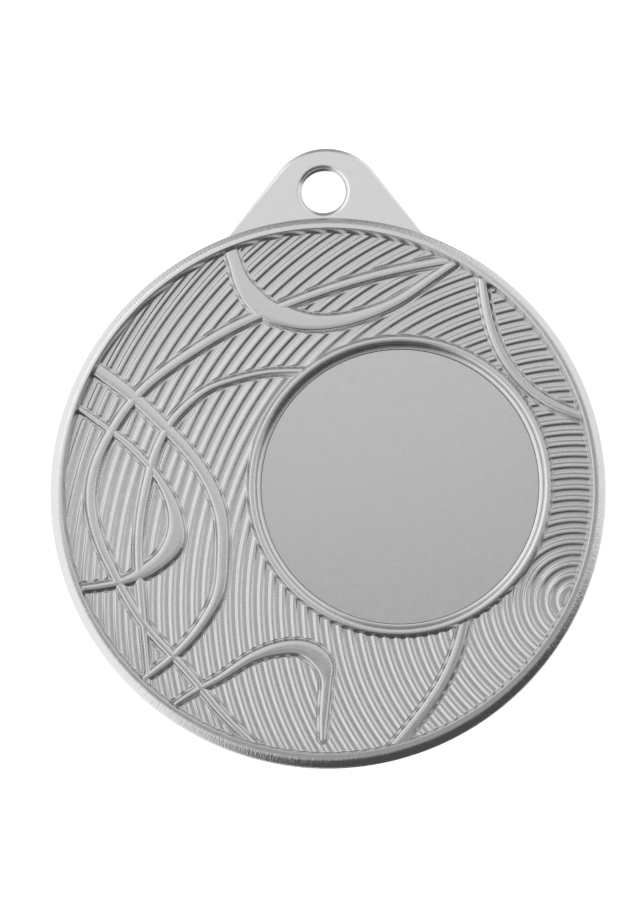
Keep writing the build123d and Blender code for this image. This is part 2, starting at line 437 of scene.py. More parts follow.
def slice_surface(number):
    """The points of one slice, with a border of one extra cell on every side.

    The angles cover a sixth of the circle and the shares run from 0 to 1. The border lets the
    normals at the slice's edges come from the surface on both sides, so the seams don't show.
    """
    start = math.tau * (number - 0.5) / SLICES
    end = math.tau * (number + 0.5) / SLICES
    columns = int((end - start) * RIM_CREST / COLUMN_STEP) + 1
    turn_step = (end - start) / (columns - 1)
    angles = np.linspace(start - turn_step, end + turn_step, columns + 2)
    edge_turn = np.stack([np.cos(angles), np.sin(angles)], -1)
    widths = np.linalg.norm((RIM_CREST - RING_CREST) * edge_turn - SEAT, axis=1)
    rows = int(widths.max() / ROW_STEP) + 1
    share_step = 1 / (rows - 1)
    shares = np.linspace(-share_step, 1 + share_step, rows + 2)
    flat = field_points(angles, shares)
    height = front_height(flat[..., 0].ravel(), flat[..., 1].ravel()).reshape(flat.shape[:2])
    return np.concatenate([flat, height[..., None]], -1)


def relief_slice(number):
    """One closed slice of the relief: the surface, two short sides and a flat base.

    The normal is the cross product of the steps along the two directions of the grid. On the two
    crests it points straight up, as the neighbouring pieces' normals do there.
    """
    surface = slice_surface(number)
    along_rows, along_columns = np.gradient(surface, axis=(0, 1))
    normal = np.cross(along_rows, along_columns)[1:-1, 1:-1]
    normal[0] = normal[-1] = (0, 0, 1)
    top = surface[1:-1, 1:-1]
    rows, columns = top.shape[:2]
    base = top[[0, -1]].copy()
    base[..., 2] = BASE_LEVEL
    points = np.concatenate([top.reshape(-1, 3), base.reshape(-1, 3)])
    faces = slab_faces(rows, columns)
    downward = np.tile([[0.0, 0.0, -1.0]], (2 * columns, 1))
    point_normals = np.concatenate([normal.reshape(-1, 3), downward])
    corners = np.concatenate([np.array(face) for face in faces])
    # How much painted shade each point of the surface gets.
    hollow = hollow_at(top[..., 0].ravel(), top[..., 1].ravel(), top[..., 2].ravel())
    hollow = np.concatenate([hollow, np.zeros(2 * columns)])
    return make_piece("relief_" + SLICE_NAMES[number], points, faces, point_normals[corners], hollow)


relief = [relief_slice(number) for number in range(SLICES)]


# %% [markdown]
# ## Turned pieces
#
# Everything that is round about an axis is turned, as on a lathe: a profile of radius and height
# is carried round in small steps. The profile is written as a chain of runs. Along one run the
# surface is smooth, and where two runs meet there is a real edge, so the corner normals are
# worked out run by run. A profile that reaches the axis ends there in a single vertex.

# %% Lathe
TURN_STEPS = 720
ARC_STEPS = 14


def arc(centre, radii, start, end, steps=ARC_STEPS):
    """Points on an ellipse about a centre, from one angle to another, in degrees."""
    angles = np.radians(np.linspace(start, end, steps))
    across = centre[0] + radii[0] * np.cos(angles)
    up = centre[1] + radii[1] * np.sin(angles)
    return np.stack([across, up], -1)


def straight(start, end, steps=2):
    """Evenly spaced points from one place to another."""
    share = np.linspace(0, 1, steps)[:, None]
    return np.array(start) * (1 - share) + np.array(end) * share


def around(profile_normals, columns):
    """Normals of a profile carried round to the angles of the given columns.

    A normal (n, m), out and up, becomes (n cos a, n sin a, m).
    """
    angle = columns * math.tau / TURN_STEPS
    out = profile_normals[:, None, 0]
    up = np.broadcast_to(profile_normals[:, None, 1], (len(profile_normals), len(columns)))
    return np.stack([out * np.cos(angle), out * np.sin(angle), up], -1)


def turned_faces(rings):
    """Faces of a solid of revolution with the given number of rings and a pole at each end.

    Vertices are the rings one after another, then the first pole and the last pole. Each ring's
    first column is repeated at its end, so that the last cell closes the circle.
    """
    table = np.arange(rings * TURN_STEPS).reshape(rings, TURN_STEPS)
    wrapped = np.concatenate([table, table[:, :1]], 1)
    walls = quads(wrapped[:-1], wrapped[1:]).reshape(-1, 4)
    first_pole = np.full(TURN_STEPS, rings * TURN_STEPS)
    last_pole = first_pole + 1
    first_cap = np.stack([first_pole, wrapped[0, 1:], wrapped[0, :-1]], -1)
    last_cap = np.stack([last_pole, wrapped[-1, :-1], wrapped[-1, 1:]], -1)
    return walls.tolist() + first_cap.tolist() + last_cap.tolist()


def turned_normals(runs):
    """Corner normals of a solid of revolution, in the order of its faces.

    Each run gives its own normals, so a cell's near corners use the run's normal where the cell
    starts and its far corners the one where it ends, and an edge between runs stays sharp. The
    two caps are level.
    """
    outwards = []
    for run in runs:
        travel = np.gradient(run, axis=0)
        outwards.append(np.stack([travel[:, 1], -travel[:, 0]], -1))
    near = np.concatenate([outward[:-1] for outward in outwards])
    far = np.concatenate([outward[1:] for outward in outwards])
    left = np.arange(TURN_STEPS)
    corners = [
        around(near[1:-1], left),
        around(near[1:-1], left + 1),
        around(far[1:-1], left + 1),
        around(far[1:-1], left),
    ]
    first_cap = np.tile([0.0, 0.0, near[0, 1]], (3 * TURN_STEPS, 1))
    last_cap = np.tile([0.0, 0.0, far[-1, 1]], (3 * TURN_STEPS, 1))
    return np.concatenate([np.stack(corners, 2).reshape(-1, 3), first_cap, last_cap])


def turned(name, runs, centre, crease=None):
    """A closed solid of revolution about a vertical axis through the centre.

    A point at radius r and height z on the profile goes to (r cos a, r sin a, z) for every angle
    a. The profile starts and ends on the axis and keeps the metal on its left, so its outward
    normal is the direction of travel turned right. A crease is a radius and a width, and the
    points near that radius count as hollow, which greys them as painted shade.
    """
    profile = np.concatenate([runs[0]] + [run[1:] for run in runs[1:]])
    turn = np.arange(TURN_STEPS) * math.tau / TURN_STEPS
    rings = profile[1:-1]
    x = centre[0] + rings[:, :1] * np.cos(turn)
    y = centre[1] + rings[:, :1] * np.sin(turn)
    z = np.broadcast_to(rings[:, 1:], x.shape)
    poles = np.array([[*centre, profile[0, 1]], [*centre, profile[-1, 1]]])
    points = np.concatenate([np.stack([x, y, z], -1).reshape(-1, 3), poles])
    hollow = None
    if crease is not None:
        crease_radius, crease_width = crease
        distance = np.hypot(points[:, 0] - centre[0], points[:, 1] - centre[1])
        hollow = smooth_step(1 - np.abs(distance - crease_radius) / crease_width)
    return make_piece(name, points, turned_faces(len(rings)), turned_normals(runs), hollow)


# %% [markdown]
# ## The back, the edge and the outer half of the rim
#
# Seen from the side the medal is a thin disc whose edge was rounded in a barrel with ceramic
# chips. The back is plain. One profile gives it all, from the middle of the back, out to the edge,
# round the shoulder, over the crest, and back down inside the bead to the hidden face below the
# relief.

# %% Rim, edge and back
OUTER_ROUND = 0.95
BACK_ROUND = 0.8
OVERLAP = 0.03
HIDDEN_TOP = BASE_LEVEL + OVERLAP
BACK_STEPS = 60
EDGE_STEPS = 6

shoulder_radii = (RIM_SHOULDER, OUTER_ROUND)
shoulder = arc((RIM_CREST, RIM_TOP - OUTER_ROUND), shoulder_radii, 0, 90, 3 * ARC_STEPS)
back_edge = arc((DISC_RADIUS - BACK_ROUND, BACK_ROUND), (BACK_ROUND, BACK_ROUND), -90, 0)
edge = straight(back_edge[-1], shoulder[0], EDGE_STEPS)[1:-1]
rim_runs = [
    straight((0, 0), back_edge[0], BACK_STEPS),
    np.concatenate([back_edge, edge, shoulder]),
    straight((RIM_CREST, RIM_TOP), (RIM_CREST, HIDDEN_TOP)),
    straight((RIM_CREST, HIDDEN_TOP), (0, HIDDEN_TOP)),
]
rim_and_back = turned("rim_and_back", rim_runs, (0.0, 0.0))

# %% [markdown]
# ## The inside of the ring
#
# The centre of the medal is a shallow cup that takes a 25 mm emblem. From its floor a short wall
# rises round the disc, then a sloping ledge leads to the steep inner wall of the ring, which
# rounds over into the crest, where the relief takes over. The corner at the foot of the steep
# wall is marked as hollow, and the metal is greyed there as painted shade.

# %% Seat cup
LEDGE_START = BLANK_TOP + 0.01
LEDGE_RADIUS = 12.88
LEDGE_TOP = FIELD - 0.03
LEDGE_HOLLOW = 1.6
LEDGE_STEPS = 8
CREASE_WIDTH = 0.12
MOUTH_RADIUS = 12.98
MOUTH_WIDTH = 0.38
MOUTH_DROP = 0.24

mouth_centre = (MOUTH_RADIUS + MOUTH_WIDTH, RING_TOP - MOUTH_DROP)
mouth = arc(mouth_centre, (MOUTH_WIDTH, MOUTH_DROP), 90, 180, 2 * ARC_STEPS)
ledge_share = np.linspace(0, 1, LEDGE_STEPS)[:, None]
ledge_across = LEDGE_RADIUS + (POCKET_RADIUS - LEDGE_RADIUS) * ledge_share
ledge_up = LEDGE_TOP + (LEDGE_START - LEDGE_TOP) * (1 - (1 - ledge_share) ** LEDGE_HOLLOW)
crest = straight((RING_CREST, RING_TOP), mouth[0])
inner_wall = np.concatenate([crest, mouth[1:], [[LEDGE_RADIUS, LEDGE_TOP]]])
cup_runs = [
    straight((0, BASE_LEVEL), (RING_CREST, BASE_LEVEL)),
    straight((RING_CREST, BASE_LEVEL), (RING_CREST, RING_TOP)),
    inner_wall,
    np.concatenate([ledge_across, ledge_up], 1),
    straight((POCKET_RADIUS, LEDGE_START), (POCKET_RADIUS, POCKET_FLOOR)),
    straight((POCKET_RADIUS, POCKET_FLOOR), (0, POCKET_FLOOR)),
]
# The crease at the ledge's inner corner gets painted shade.
seat_cup = turned("seat_cup", cup_runs, SEAT, (LEDGE_RADIUS, CREASE_WIDTH))

# %% [markdown]
# ## The centre disc
#
# A plain satin disc closes the pocket until an emblem covers it. It was punched from sheet, so
# its front edge is slightly rounded and its face dishes by a few hundredths of a millimetre.

# %% Centre disc
BLANK_EDGE = 0.06
DISHING = 0.02
FACE_STEPS = 60

face_radius = np.linspace(BLANK_RADIUS - BLANK_EDGE, 0, FACE_STEPS)
face_height = BLANK_TOP - DISHING * (1 - (face_radius / face_radius[0]) ** 2)
blank_face = np.stack([face_radius, face_height], -1)
edge_centre = (BLANK_RADIUS - BLANK_EDGE, BLANK_TOP - BLANK_EDGE)
blank_edge = arc(edge_centre, (BLANK_EDGE, BLANK_EDGE), 0, 90)
blank_runs = [
    straight((0, BLANK_BOTTOM), (BLANK_RADIUS, BLANK_BOTTOM)),
    straight((BLANK_RADIUS, BLANK_BOTTOM), blank_edge[0]),
    np.concatenate([blank_edge, blank_face[1:]]),
]
centre_blank = turned("centre_blank", blank_runs, SEAT)

# %% [markdown]
# ## The lug
#
# The lug is a flat plate with a broad round head and two straight flanks that leave the head as
# tangents. The ribbon hole isn't at the head's centre but a little above it. Seen from the hole,
# the outline is a distance for every angle: out to the head's circle over the top, out to a flank
# at the sides, and below only as far as the rim, under which the plate disappears. At each angle
# the same section is carried round: up the hole's wall, over its rounded lip, across the plate,
# round its edge and back below.

# %% Outline of the lug, seen from the hole
LUG_THICKNESS = 1.6
HEAD_RADIUS = 5.5
HEAD_ASIDE = 0.2
HEAD = np.array([HEAD_ASIDE, LUG_TOP_Y - HEAD_RADIUS])
HOLE_BELOW_TOP = 3.95
HOLE = np.array([0.0, LUG_TOP_Y - HOLE_BELOW_TOP])
HOLE_RADIUS = 1.95
FLANK_TURNS = np.radians([37.0, 141.8])
LUG_STEPS = 1080
UNDER_RIM = RIM_CREST + 0.12
FILLET_REACH = 1.5
FILLET_DEPTH = FILLET_REACH / 3
FILLET_RIM = DISC_RADIUS - 0.05
LEAST_COSINE = 0.05
FAR = 99.0


def outward(turn):
    """The unit direction at an angle."""
    return np.stack([np.cos(turn), np.sin(turn)], -1)


def to_circle(angle, centre, radius, far_side):
    """Distance from the hole along each angle to a circle, on its near or its far side.

    With u the direction and c the hole seen from the circle's centre, the two crossings are at
    -c . u minus or plus the root of (c . u)^2 - |c|^2 + r^2. Where they don't exist it is far.
    """
    offset = HOLE - centre
    along = outward(angle) @ offset
    inside = along**2 - offset @ offset + radius**2
    root = np.sqrt(np.maximum(inside, 0))
    crossing = -along + (root if far_side else -root)
    return np.where((inside > 0) & (crossing > 0), crossing, FAR)


def to_flank(angle, turn):
    """Distance from the hole along each angle to the straight flank that faces a direction.

    The flank touches the head's circle, so it is at r - (hole - head) . n along its normal n, and
    a ray at an angle to the normal travels that divided by the cosine of the angle.
    """
    gap = HEAD_RADIUS - (HOLE - HEAD) @ outward(turn)
    cosine = np.cos(angle - turn)
    return np.where(cosine > LEAST_COSINE, gap / np.maximum(cosine, LEAST_COSINE), FAR)


def lug_outline(angle):
    """Distance from the hole's centre to the lug's outline at each angle.

    At the right foot the corner between the flank and the disc is filled by a small fillet: the
    outline moves out as the gap left to the disc's edge closes.
    """
    head = to_circle(angle, HEAD, HEAD_RADIUS, True)
    touch = [HEAD + HEAD_RADIUS * outward(turn) - HOLE for turn in FLANK_TURNS]
    first, last = (np.arctan2(spot[1], spot[0]) for spot in touch)
    flanks = [to_flank(angle, turn) for turn in FLANK_TURNS]
    to_disc = to_circle(angle, np.zeros(2), FILLET_RIM, False)
    closing = np.clip(1 - (to_disc - flanks[0]) / FILLET_REACH, 0.0, 1.0)
    flanks[0] = flanks[0] + FILLET_DEPTH * closing**2
    reach = np.minimum(np.minimum(*flanks), to_circle(angle, np.zeros(2), UNDER_RIM, False))
    return np.where((angle > first) & (angle < last), head, reach)


# %% Lug with its ribbon hole
HOLE_LIP = 0.5
HOLE_LIP_DROP = 0.6
LUG_EDGE = 0.45
LUG_EDGE_DROP = 0.74
ACROSS_STEPS = 14


def lug_section():
    """Section of the lug as (share of the way out, offset outwards, height).

    The share goes from 0 at the hole's wall to 1 at the outline. Offsets are in millimetres and
    give the rounded edges.
    """
    top = LUG_THICKNESS
    lip_up = arc((HOLE_LIP, top - HOLE_LIP_DROP), (HOLE_LIP, HOLE_LIP_DROP), 180, 90)
    edge_up = arc((-LUG_EDGE, top - LUG_EDGE_DROP), (LUG_EDGE, LUG_EDGE_DROP), 90, 0)
    edge_down = arc((-LUG_EDGE, LUG_EDGE_DROP), (LUG_EDGE, LUG_EDGE_DROP), 0, -90)
    lip_down = arc((HOLE_LIP, HOLE_LIP_DROP), (HOLE_LIP, HOLE_LIP_DROP), 270, 180)
    across = np.linspace(0, 1, ACROSS_STEPS)[1:-1, None]
    near = [np.insert(run, 0, 0.0, 1) for run in (lip_up, lip_down)]
    far = [np.insert(run, 0, 1.0, 1) for run in (edge_up, edge_down)]
    face_up = (1 - across) * near[0][-1] + across * far[0][0]
    face_down = (1 - across) * far[1][-1] + across * near[1][0]
    return np.concatenate([near[0], face_up, far[0], far[1], face_down, near[1]])


section = lug_section()
lug_turn = np.linspace(-math.pi, math.pi, LUG_STEPS, endpoint=False)
distance = HOLE_RADIUS + section[:, :1] * (lug_outline(lug_turn) - HOLE_RADIUS) + section[:, 1:2]
lug_x = HOLE[0] + distance * np.cos(lug_turn)
lug_y = HOLE[1] + distance * np.sin(lug_turn)
lug_grid = np.stack([lug_x, lug_y, np.broadcast_to(section[:, 2:], lug_x.shape)], -1)
lug_table = np.arange(lug_x.size).reshape(lug_x.shape)
lug_wrapped = np.pad(lug_table, ((0, 1), (0, 1)), mode="wrap")
lug_faces = quads(lug_wrapped[:-1], lug_wrapped[1:])[..., ::-1].reshape(-1, 4)
closed = np.pad(lug_grid, ((1, 1), (1, 1), (0, 0)), mode="wrap")
across_lug, round_lug = np.gradient(closed, axis=(0, 1))
lug_normals = np.cross(across_lug, round_lug)[1:-1, 1:-1].reshape(-1, 3)
ribbon_lug = make_piece(
    "ribbon_lug",
    lug_grid.reshape(-1, 3),
    lug_faces.tolist(),
    lug_normals[lug_faces.ravel()],
)

# %% [markdown]
# ## Standing in for the measured parts
#
# The detailed slices, the rim, the cup and the lug together are the one struck body, so they
# stand for it. The new disc stands for the plain one. The film of adhesive is hidden under the
# disc, and keeps its measured shape.

# %% Replace the plain parts
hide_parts("medal_body")
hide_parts("centre_disc")
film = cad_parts["centre_adhesive"]
print("struck pieces:", len(relief) + 3)

# %% [markdown]
# ## Finishes
#
# The medal is plated white metal with a satin surface. It isn't a mirror: fine grain scatters the
# light, corners and grooves are greyed as painted shade, and tumbling left short streaks across
# the rim. Those effects are node groups, so that each material places the same effect with its
# own values.

# %% Shader helpers


def new_group(name, inputs, outputs):
    """An empty shader node group with named sockets, and its input and output nodes."""
    group = bpy.data.node_groups.new(name, "ShaderNodeTree")
    for label, kind, default in inputs:
        socket = group.interface.new_socket(name=label, in_out="INPUT", socket_type=kind)
        if default is not None:
            socket.default_value = default
    for label, kind in outputs:
        group.interface.new_socket(name=label, in_out="OUTPUT", socket_type=kind)
    return group, group.nodes.new("NodeGroupInput").outputs, group.nodes.new("NodeGroupOutput").inputs


def give(tree, socket, value):
    """Set a socket to a number, a tuple or a link, whichever the value is."""
    if isinstance(value, bpy.types.NodeSocket):
        tree.links.new(value, socket)
    else:
        socket.default_value = value


def calc(tree, operation, first, second=0.0):
    """A math node on sockets or numbers."""
    node = tree.nodes.new("ShaderNodeMath")
    node.operation = operation
    give(tree, node.inputs[0], first)
    give(tree, node.inputs[1], second)
    return node.outputs[0]


def vector_calc(tree, operation, first, second=(0.0, 0.0, 0.0)):
    """A vector math node on sockets or tuples."""
    node = tree.nodes.new("ShaderNodeVectorMath")
    node.operation = operation
    give(tree, node.inputs[0], first)
    give(tree, node.inputs[1], second)
    return node.outputs["Value" if operation in ("DOT_PRODUCT", "LENGTH") else "Vector"]


def spread(tree, value, low, high, to_low=0.0, to_high=1.0):
    """A value carried from one range to another, smoothly, and kept inside it."""
    node = tree.nodes.new("ShaderNodeMapRange")
    node.interpolation_type = "SMOOTHSTEP"
    numbers = (value, low, high, to_low, to_high)
    for label, number in zip(("Value", "From Min", "From Max", "To Min", "To Max"), numbers):
        give(tree, node.inputs[label], number)
    return node.outputs["Result"]


def noise(tree, vector, scale, detail=2.0):
    """A noise texture on a vector, at a scale that is a number or a socket."""
    node = tree.nodes.new("ShaderNodeTexNoise")
    give(tree, node.inputs["Vector"], vector)
    give(tree, node.inputs["Scale"], scale)
    node.inputs["Detail"].default_value = detail
    return node.outputs["Fac"]


# %% [markdown]
# ## Four effects as node groups
#
# *Satin grain* is the frosted texture that blasting leaves, at two sizes. *Tumbled streaks* are
# short marks across the rim: the noise is read on a circle, so it is stretched along the radius
# and has no seam. *Hairlines* are the sparse scratches of handling, which are noise stretched
# fifteenfold along one direction and cut off near its peak. *Painted shade and film tint* greys
# the corners and grooves of the metal as painted shade, and tints the film by its clouds.

# %% Group: satin grain
MOTTLE_SCALE = 1400.0
MOTTLE_DETAIL = 3.0
MOTTLE_WEIGHT = 1.2

grain, given, result = new_group(
    "satin grain",
    [
        ("Vector", "NodeSocketVector", None),
        ("Fine scale", "NodeSocketFloat", 9000.0),
        ("Mottle scale", "NodeSocketFloat", MOTTLE_SCALE),
    ],
    [("Height", "NodeSocketFloat"), ("Mottle", "NodeSocketFloat")],
)
fine_grain = noise(grain, given["Vector"], given["Fine scale"])
mottle = noise(grain, given["Vector"], given["Mottle scale"], MOTTLE_DETAIL)
coarse_grain = calc(grain, "MULTIPLY", mottle, MOTTLE_WEIGHT)
give(grain, result["Height"], calc(grain, "ADD", fine_grain, coarse_grain))
give(grain, result["Mottle"], mottle)

# %% Group: tumbled streaks
streaks, given, result = new_group(
    "tumbled streaks",
    [
        ("Vector", "NodeSocketVector", None),
        ("Around", "NodeSocketFloat", 200.0),
        ("Along", "NodeSocketFloat", 1200.0),
    ],
    [("Height", "NodeSocketFloat"), ("Radius", "NodeSocketFloat")],
)
level = vector_calc(streaks, "MULTIPLY", given["Vector"], (1.0, 1.0, 0.0))
radius = vector_calc(streaks, "LENGTH", level)
split = streaks.nodes.new("ShaderNodeSeparateXYZ")
give(streaks, split.inputs[0], given["Vector"])
outwards_and_down = calc(streaks, "SUBTRACT", radius, split.outputs["Z"])
travel = calc(streaks, "MULTIPLY", outwards_and_down, given["Along"])
bearing = vector_calc(streaks, "NORMALIZE", level)
scaled = streaks.nodes.new("ShaderNodeVectorMath")
scaled.operation = "SCALE"
give(streaks, scaled.inputs[0], bearing)
give(streaks, scaled.inputs["Scale"], given["Around"])
lift = streaks.nodes.new("ShaderNodeCombineXYZ")
give(streaks, lift.inputs["Z"], travel)
place = vector_calc(streaks, "ADD", scaled.outputs["Vector"], lift.outputs["Vector"])
give(streaks, result["Height"], noise(streaks, place, 1.0))
give(streaks, result["Radius"], radius)

# %% Group: hairlines
HAIRLINE_SOFTNESS = 0.06

hairlines, given, result = new_group(
    "hairlines",
    [
        ("Vector", "NodeSocketVector", None),
        ("Turn", "NodeSocketFloat", 0.0),
        ("Width scale", "NodeSocketFloat", 9000.0),
        ("Length scale", "NodeSocketFloat", 600.0),
        ("Rarity", "NodeSocketFloat", 0.7),
    ],
    [("Lines", "NodeSocketFloat")],
)
spun = hairlines.nodes.new("ShaderNodeVectorRotate")
spun.rotation_type = "Z_AXIS"
give(hairlines, spun.inputs["Vector"], given["Vector"])
give(hairlines, spun.inputs["Angle"], given["Turn"])
stretch = hairlines.nodes.new("ShaderNodeCombineXYZ")
give(hairlines, stretch.inputs["X"], given["Length scale"])
give(hairlines, stretch.inputs["Y"], given["Width scale"])
stretched = vector_calc(hairlines, "MULTIPLY", spun.outputs["Vector"], stretch.outputs["Vector"])
lines = noise(hairlines, stretched, 1.0, 1.0)
full = calc(hairlines, "ADD", given["Rarity"], HAIRLINE_SOFTNESS)
give(hairlines, result["Lines"], spread(hairlines, lines, given["Rarity"], full))

# %% Group: painted shade and film tint
# On the metals this mixes in painted shade: Clean is the unshaded tone and Grey the shade in corners and
# grooves. On the film it is the real tint of its thicker clouds.
PATCH_RANGE = (0.35, 0.65)
LEAST_PATCH = 0.75

painted_shade_and_film_tint, given, result = new_group(
    "painted_shade_and_film_tint",
    [
        ("Clean", "NodeSocketColor", (0.6, 0.6, 0.6, 1.0)),
        ("Grey", "NodeSocketColor", (0.3, 0.3, 0.3, 1.0)),
        ("Hollow", "NodeSocketFloat", 0.0),
        ("Mottle", "NodeSocketFloat", 0.5),
    ],
    [("Color", "NodeSocketColor")],
)
patchy = spread(painted_shade_and_film_tint, given["Mottle"], *PATCH_RANGE, LEAST_PATCH, 1.0)
amount = calc(painted_shade_and_film_tint, "MULTIPLY", given["Hollow"], patchy)
tint = painted_shade_and_film_tint.nodes.new("ShaderNodeMix")
tint.data_type = "RGBA"
give(painted_shade_and_film_tint, tint.inputs["Factor"], amount)
give(painted_shade_and_film_tint, tint.inputs["A"], given["Clean"])
give(painted_shade_and_film_tint, tint.inputs["B"], given["Grey"])
give(painted_shade_and_film_tint, result["Color"], tint.outputs["Result"])
print("groups:", [group.name for group in bpy.data.node_groups])

# %% [markdown]
# ## Metals
#
# One function mixes the groups into a metal, and its arguments say how much of each there is.
# The relief is struck and lightly frosted, the rim shows tumbling marks, the lug is the smoothest
# and the centre disc is plain satin.

# %% Materials
RIM_STREAKS_FROM = 24.1
RIM_STREAKS_FULL = 24.5
STREAKS_AROUND = 230.0
STREAKS_ALONG = 1500.0
HAIRLINES = ((0.3, 0.70), (1.9, 0.72), (2.6, 0.73))
BLUISH = 1.005
MOTTLE_RANGE = (0.3, 0.7)
ROUGHNESS_SWING = 0.04


def place_group(tree, group, **values):
    """A group node in a material, with its named inputs given."""
    node = tree.nodes.new("ShaderNodeGroup")
    node.node_tree = group
    for label, value in values.items():
        give(tree, node.inputs[label.replace("_", " ").capitalize()], value)
    return node.outputs


def metal(name, tone, grey, roughness, grain_depth, fine_scale, streak_depth=0.0, hairline_depth=0.0):
    """Plated metal: colour greyed in corners as painted shade, roughness from mottle, and a bump from
    all the marks.

    Depths are in millimetres, and tones are linear greys; grey is the tone of the painted shade in
    corners and grooves. Each family of hairlines is a turn in radians and a rarity.
    """
    material = bpy.data.materials.new(name)
    material.use_nodes = True
    tree = material.node_tree
    shader = tree.nodes["Principled BSDF"]
    shader.inputs["Metallic"].default_value = 1.0
    place = tree.nodes.new("ShaderNodeTexCoord").outputs["Object"]
    hollow = tree.nodes.new("ShaderNodeAttribute")
    hollow.attribute_name = "hollow"
    satin = place_group(tree, grain, vector=place, fine_scale=fine_scale, mottle_scale=MOTTLE_SCALE)
    # The base colour turns towards grey where the hollow attribute is high: painted shade in corners and
    # grooves.
    colour = place_group(
        tree,
        painted_shade_and_film_tint,
        clean=(tone, tone, tone * BLUISH, 1.0),
        grey=(grey, grey, grey, 1.0),
        hollow=hollow.outputs["Fac"],
        mottle=satin["Mottle"],
    )
    give(tree, shader.inputs["Base Color"], colour["Color"])
    roughness_range = (roughness - ROUGHNESS_SWING, roughness + ROUGHNESS_SWING)
    rough = spread(tree, satin["Mottle"], *MOTTLE_RANGE, *roughness_range)
    height = calc(tree, "MULTIPLY", satin["Height"], grain_depth * MM)
    if streak_depth:
        marks = place_group(tree, streaks, vector=place, around=STREAKS_AROUND, along=STREAKS_ALONG)
        near_edge = spread(tree, marks["Radius"], RIM_STREAKS_FROM * MM, RIM_STREAKS_FULL * MM)
        mark_height = calc(tree, "MULTIPLY", marks["Height"], near_edge)
        height = calc(tree, "ADD", height, calc(tree, "MULTIPLY", mark_height, streak_depth * MM))
    if hairline_depth:
        for turn, rarity in HAIRLINES:
            scratch = place_group(tree, hairlines, vector=place, turn=turn, rarity=rarity)
            groove = calc(tree, "MULTIPLY", scratch["Lines"], hairline_depth * MM)
            height = calc(tree, "SUBTRACT", height, groove)
    give(tree, shader.inputs["Roughness"], rough)
    bump = tree.nodes.new("ShaderNodeBump")
    bump.inputs["Distance"].default_value = 1.0
    give(tree, bump.inputs["Height"], height)
    give(tree, shader.inputs["Normal"], bump.outputs["Normal"])
    return material


relief_metal = metal("relief metal", 0.63, 0.44, 0.27, 0.006, 8000.0)
rim_metal = metal("rim metal", 0.69, 0.44, 0.20, 0.003, 8000.0, streak_depth=0.035, hairline_depth=0.003)
# The lug's tone is set lighter than the relief's as painted light for the brighter top of the medal; its
# lower roughness is its smoother finish.
lug_metal = metal("lug metal", 0.74, 0.50, 0.22, 0.003, 8000.0, hairline_depth=0.004)
satin_metal = metal("satin metal", 0.62, 0.40, 0.32, 0.006, 12000.0, hairline_depth=0.007)
for piece in relief + [seat_cup]:
    piece.data.materials.append(relief_metal)
rim_and_back.data.materials.append(rim_metal)
ribbon_lug.data.materials.append(lug_metal)
centre_blank.data.materials.append(satin_metal)

# %% [markdown]
# ## The hidden film
#
# Under the disc is a die-cut film of adhesive. It is cloudy and slightly yellow, a bit darker
# where it is thicker, and as dull as rubber.

# %% Adhesive film
FILM_THIN = (0.62, 0.60, 0.52, 1.0)
FILM_THICK = (0.50, 0.47, 0.38, 1.0)
FILM_CLOUD_SCALE = 600.0
FILM_CLOUD_DETAIL = 4.0
FILM_ROUGHNESS = (0.5, 0.65)

cloudy_film = bpy.data.materials.new("cloudy film")
cloudy_film.use_nodes = True
film_tree = cloudy_film.node_tree
film_place = film_tree.nodes.new("ShaderNodeTexCoord").outputs["Object"]
film_cloud = noise(film_tree, film_place, FILM_CLOUD_SCALE, FILM_CLOUD_DETAIL)
film_tint = place_group(
    film_tree,
    painted_shade_and_film_tint,
    clean=FILM_THIN,
    grey=FILM_THICK,
    hollow=film_cloud,
    mottle=film_cloud,
)
film_shader = film_tree.nodes["Principled BSDF"]
give(film_tree, film_shader.inputs["Base Color"], film_tint["Color"])
film_rough = spread(film_tree, film_cloud, *MOTTLE_RANGE, *FILM_ROUGHNESS)
give(film_tree, film_shader.inputs["Roughness"], film_rough)
film.data.materials.clear()
film.data.materials.append(cloudy_film)

# %% [markdown]
# ## Studio
#
# Metal shows what is around it, so its light is a room, not a lamp. The room is an even grey
# overhead. A bright panel hangs on the right and a brighter one on the left, and both reach down
# past the horizon. One quarter, low down in front and to the right, is dark. Slopes that face
# that quarter turn dark and draw the relief. The room is a function of the direction alone. A
# soft lamp above the top part of the medal faces straight down and lifts the lug.

# %% Surround
OVERHEAD = 0.41
RIGHT_PANEL = {"level": 1.02, "bearing": 24, "full": 36, "none": 58, "top": 12, "bottom": 50}
LEFT_PANEL = {"level": 1.18, "bearing": 180, "full": 36, "none": 80, "top": 10, "bottom": 35}
DARK_QUARTER = {"level": 0.09, "bearing": -64, "full": 43, "none": 60, "top": 20, "bottom": 55}

world = bpy.data.worlds.new("studio")
world.use_nodes = True
bpy.context.scene.world = world
room = world.node_tree
direction = room.nodes.new("ShaderNodeTexCoord").outputs["Generated"]
parts = room.nodes.new("ShaderNodeSeparateXYZ")
give(room, parts.inputs[0], direction)
compass = vector_calc(room, "NORMALIZE", vector_calc(room, "MULTIPLY", direction, (1.0, 1.0, 0.0)))


